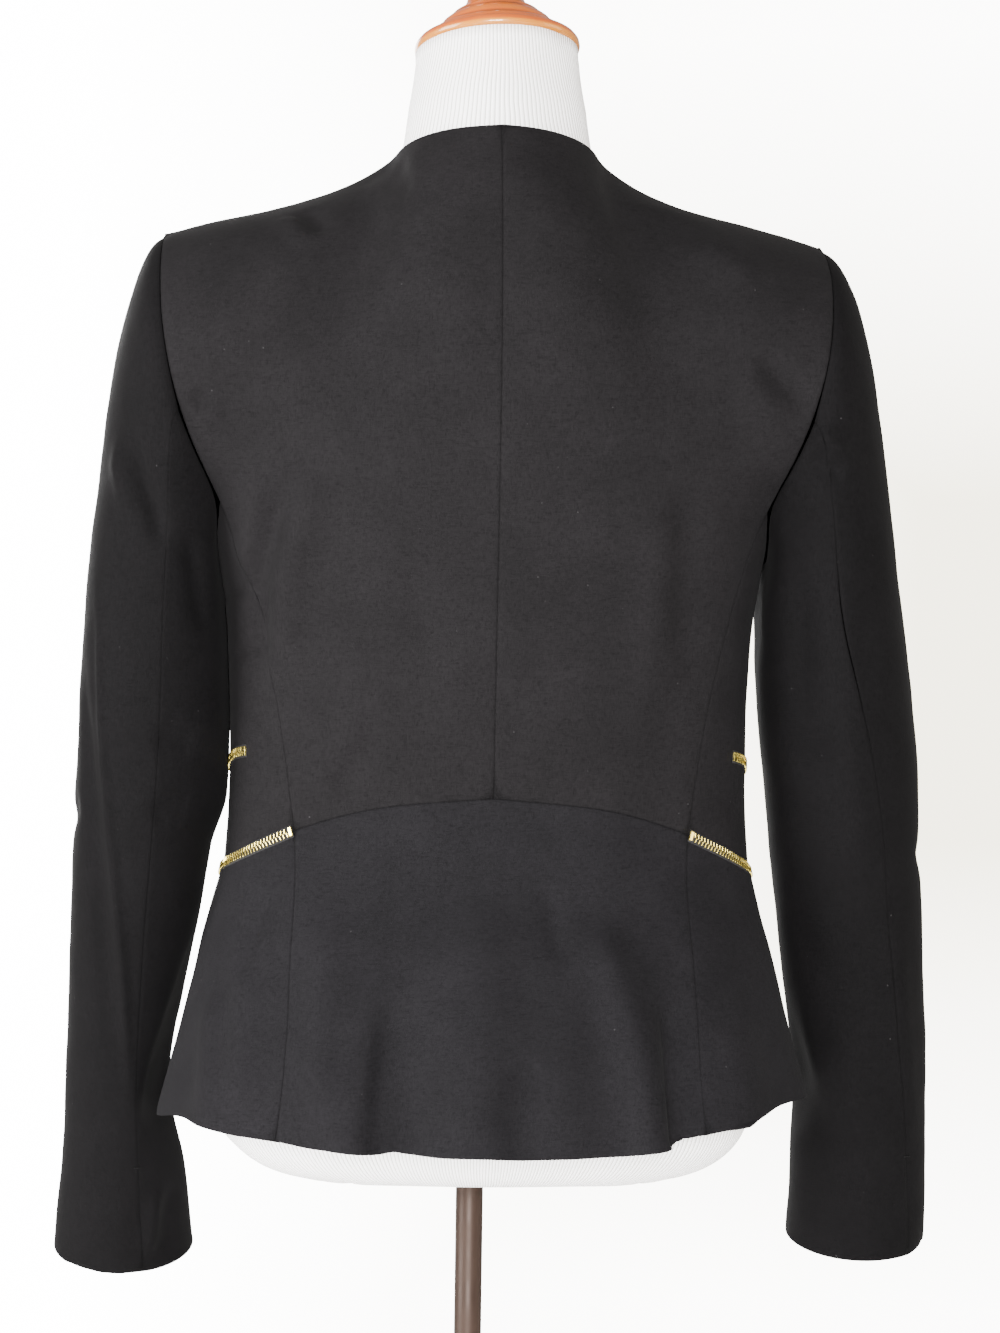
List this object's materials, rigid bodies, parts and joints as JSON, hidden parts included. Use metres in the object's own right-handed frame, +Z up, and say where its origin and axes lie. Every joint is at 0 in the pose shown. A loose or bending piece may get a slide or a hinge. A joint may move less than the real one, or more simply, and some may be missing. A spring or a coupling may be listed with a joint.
{
  "type": "blazer on a dress form stand",
  "caption": "Black collarless tailored blazer with princess seams, a flared peplum, slim two-piece sleeves and metal zip trims, shown on a limbless dress form on a pole stand.",
  "frame": {"origin": "the middle of the round base's underside, on the floor", "axes": "+Z up; the blazer's back faces +Y and its front -Y; the wearer's left is +X"},
  "size_m": [0.5494, 0.33, 1.557],
  "materials": {
    "black_suiting": "fine smooth weave, matt",
    "zip_gold": "pale gold teeth, worn bright",
    "white_jersey": "fine ribbed jersey over padding",
    "varnished_wood": "glossy orange varnish",
    "chrome": "polished",
    "white_enamel": "satin enamel"
  },
  "bodies": {
    "root": {"back_left": "black_suiting", "back_right": "black_suiting", "side_left": "black_suiting", "side_right": "black_suiting", "front_left": "black_suiting", "front_right": "black_suiting", "peplum_back": "black_suiting", "peplum_side_left": "black_suiting", "peplum_side_right": "black_suiting", "peplum_front_left": "black_suiting", "peplum_front_right": "black_suiting", "sleeve_upper_left": "black_suiting", "sleeve_upper_right": "black_suiting", "sleeve_under_left": "black_suiting", "sleeve_under_right": "black_suiting", "zip_upper_left": "zip_gold", "zip_upper_right": "zip_gold", "zip_lower_left": "zip_gold", "zip_lower_right": "zip_gold", "form_body": "white_jersey", "neck_cap": "varnished_wood", "pole": "chrome", "base": "white_enamel"}
  },
  "joints": []
}
